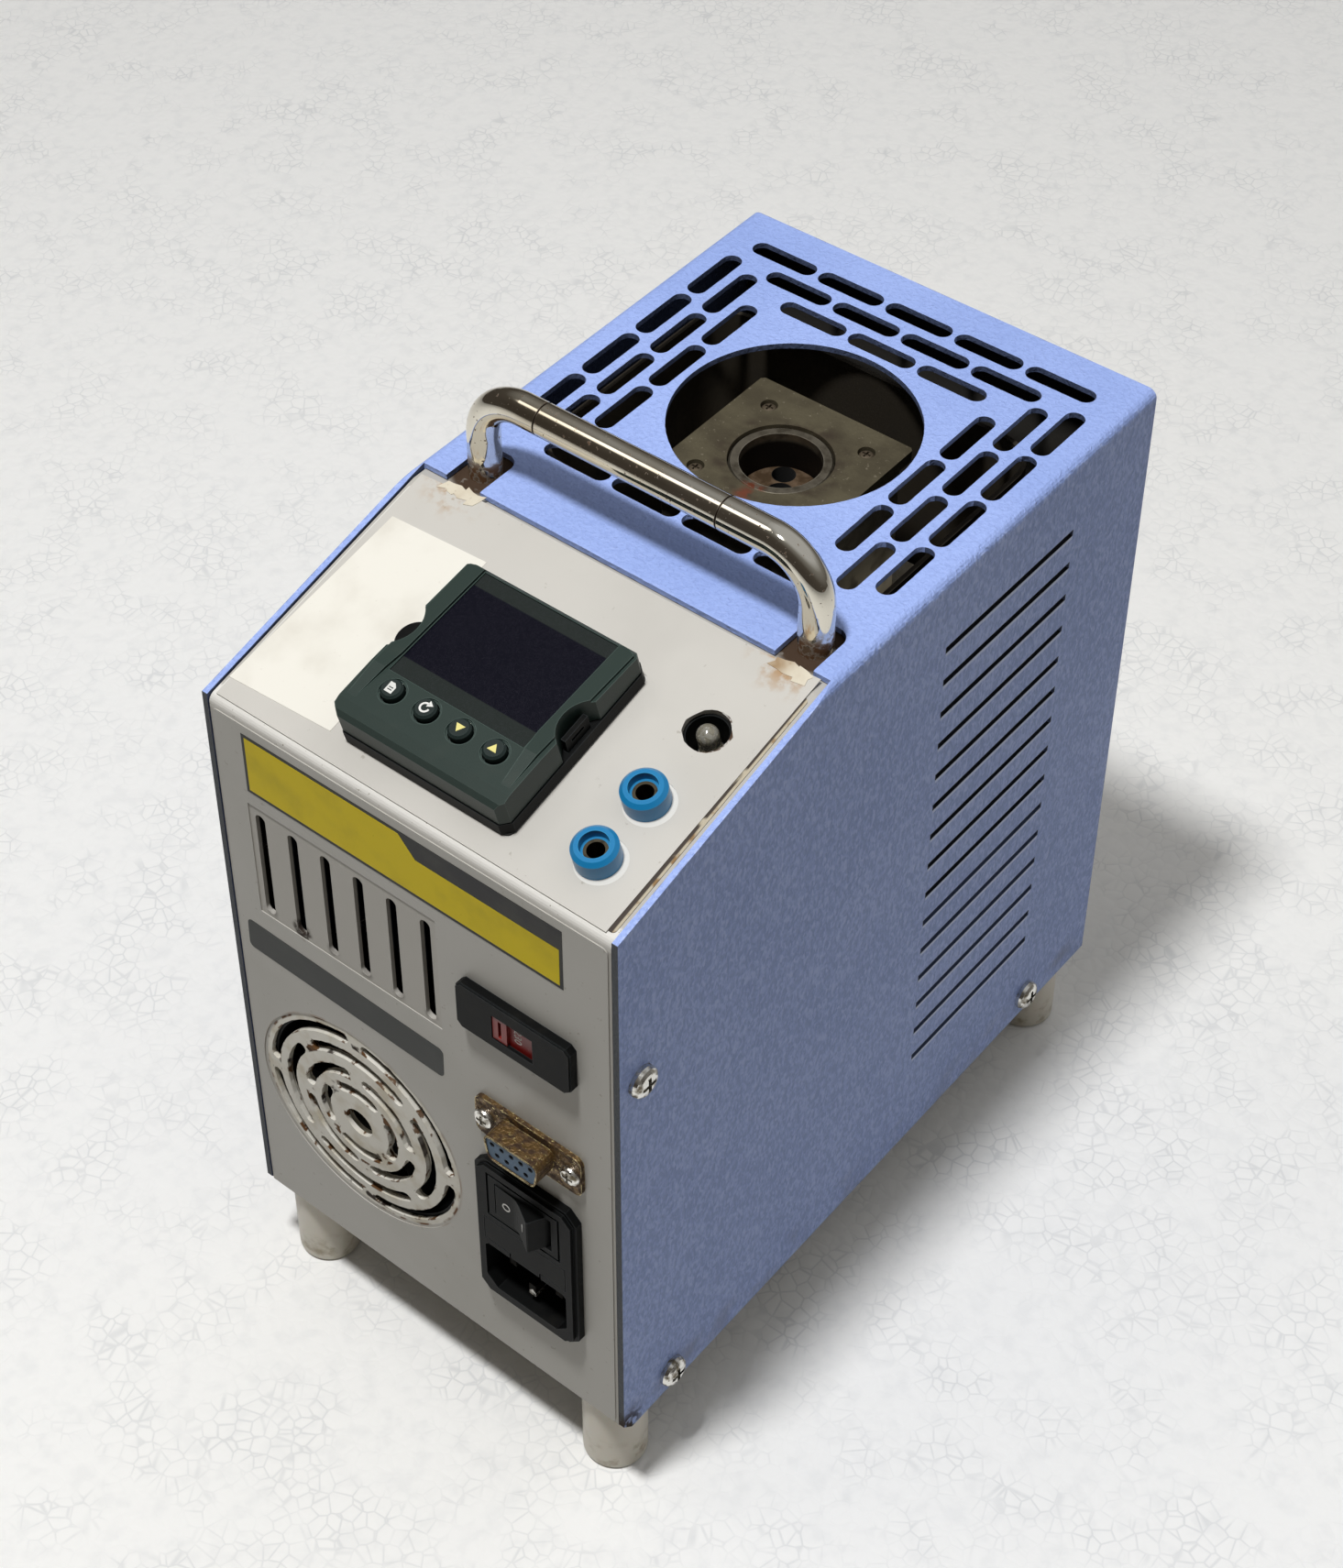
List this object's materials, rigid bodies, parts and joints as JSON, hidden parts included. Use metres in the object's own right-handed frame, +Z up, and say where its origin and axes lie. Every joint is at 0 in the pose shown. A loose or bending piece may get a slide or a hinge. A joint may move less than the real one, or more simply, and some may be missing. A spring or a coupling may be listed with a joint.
{
  "type": "dry block heater",
  "caption": "Bench dry block temperature calibrator: vented metal case on round feet, sloping control panel, carry handle, and a heated well under a round opening.",
  "frame": {"origin": "middle of the footprint at the level of the feet", "axes": "+X to the right seen from the front, +Y from the front towards the rear, +Z up"},
  "size_m": [0.1224, 0.2044, 0.2435],
  "materials": {
    "cover_paint": "periwinkle blue wrinkle powder coat",
    "panel_paint": "light grey paint",
    "front_print": "grey printed overlay",
    "slope_print": "warm light grey printed overlay",
    "bright_steel": "nickel-plated steel",
    "dark_steel": "heat-darkened steel",
    "foot_rubber": "ivory",
    "handle_chrome": "pitted chrome",
    "black_plastic": "black",
    "bezel_plastic": "dark green grey",
    "key_plastic": "dark grey",
    "screen_plastic": "dark tinted window",
    "board_laminate": "green",
    "gasket_rubber": "dark grey",
    "socket_plastic": "blue",
    "blue_plastic": "dusty blue",
    "red_plastic": "dark red",
    "clear_plastic": "clear",
    "contact_brass": "gold-plated",
    "shell_brass": "tarnished",
    "fuse_glass": "nickel caps",
    "block_aluminium": "heat-dulled",
    "plate_metal": "heat-tinted grey bronze",
    "well_metal": "dulled",
    "insert_metal": "heat-browned",
    "ceramic": "ceramic white",
    "fibre": "ceramic-fibre felt",
    "shield_steel": "dull sheet steel"
  },
  "bodies": {
    "case": {"chassis": "panel_paint", "rear_panel": "panel_paint", "rear_screws": "bright_steel", "cover": "cover_paint", "cover_screws": "bright_steel", "front_overlay": "front_print", "slope_overlay": "slope_print", "feet": "foot_rubber", "foot_screws": "bright_steel", "foot_nuts": "bright_steel", "handle_tube": "handle_chrome", "handle_elbows": "handle_chrome", "handle_screws": "bright_steel", "fan_frame": "black_plastic", "fan_nuts": "bright_steel", "inlet_body": "black_plastic", "inlet_pins": "bright_steel", "serial_shell": "shell_brass", "serial_insert": "blue_plastic", "serial_screws": "bright_steel", "serial_nuts": "bright_steel", "selector_body": "black_plastic", "controller_sleeve": "black_plastic", "controller_clips": "black_plastic", "controller_gasket": "gasket_rubber", "controller_bezel": "bezel_plastic", "controller_window": "screen_plastic", "controller_board": "board_laminate", "keypad_mat": "gasket_rubber", "socket_bodies": "socket_plastic", "socket_contacts": "contact_brass", "socket_nuts": "bright_steel", "lamp_holder": "black_plastic", "lamp_lens": "clear_plastic", "heater_block": "block_aluminium", "block_plate": "plate_metal", "plate_screws": "dark_steel", "well_tube": "well_metal", "cartridge_heaters": "bright_steel", "block_sensor": "bright_steel", "block_pillars": "ceramic", "pillar_screws": "bright_steel", "insulation": "fibre", "heat_shield": "shield_steel", "shield_screws": "bright_steel", "relay": "black_plastic", "relay_terminals": "contact_brass", "relay_screws": "bright_steel", "terminal_strip": "ceramic", "terminal_screws": "bright_steel"},
    "rocker": {"power_rocker": "black_plastic"},
    "drawer": {"fuse_drawer": "black_plastic", "fuses": "fuse_glass"},
    "slider": {"selector_slider": "red_plastic"},
    "page_button": {"page_key": "key_plastic"},
    "scroll_button": {"scroll_key": "key_plastic"},
    "down_button": {"down_key": "key_plastic"},
    "up_button": {"up_key": "key_plastic"},
    "rotor": {"fan_rotor": "black_plastic"},
    "well_insert": {"insert": "insert_metal"}
  },
  "joints": [
    {"name": "rocker_tilt", "type": "hinge", "parent": "case", "child": "rocker", "pos_m": [0.03206, -0.09345, 0.0897], "axis": [0, 0, 1], "range_deg": [0, 32]},
    {"name": "drawer_slide", "type": "slide", "parent": "case", "child": "drawer", "axis": [0, -1, 0], "range_m": [0, 0.022]},
    {"name": "selector_slide", "type": "slide", "parent": "case", "child": "slider", "axis": [1, 0, 0], "range_m": [0, 0.0073]},
    {"name": "page_press", "type": "slide", "parent": "case", "child": "page_button", "axis": [0, 0.2472, -0.969], "range_m": [0, 0.0006], "stiffness_N_per_m": 800, "springref_m": -0.001},
    {"name": "scroll_press", "type": "slide", "parent": "case", "child": "scroll_button", "axis": [0, 0.2472, -0.969], "range_m": [0, 0.0006], "stiffness_N_per_m": 800, "springref_m": -0.001},
    {"name": "down_press", "type": "slide", "parent": "case", "child": "down_button", "axis": [0, 0.2472, -0.969], "range_m": [0, 0.0006], "stiffness_N_per_m": 800, "springref_m": -0.001},
    {"name": "up_press", "type": "slide", "parent": "case", "child": "up_button", "axis": [0, 0.2472, -0.969], "range_m": [0, 0.0006], "stiffness_N_per_m": 800, "springref_m": -0.001},
    {"name": "rotor_spin", "type": "hinge", "parent": "case", "child": "rotor", "pos_m": [-0.02141, -0.08105, 0.0786], "axis": [0, 1, 0], "continuous": true},
    {"name": "insert_lift", "type": "slide", "parent": "case", "child": "well_insert", "axis": [0, 0, 1], "range_m": [0, 0.125]}
  ]
}
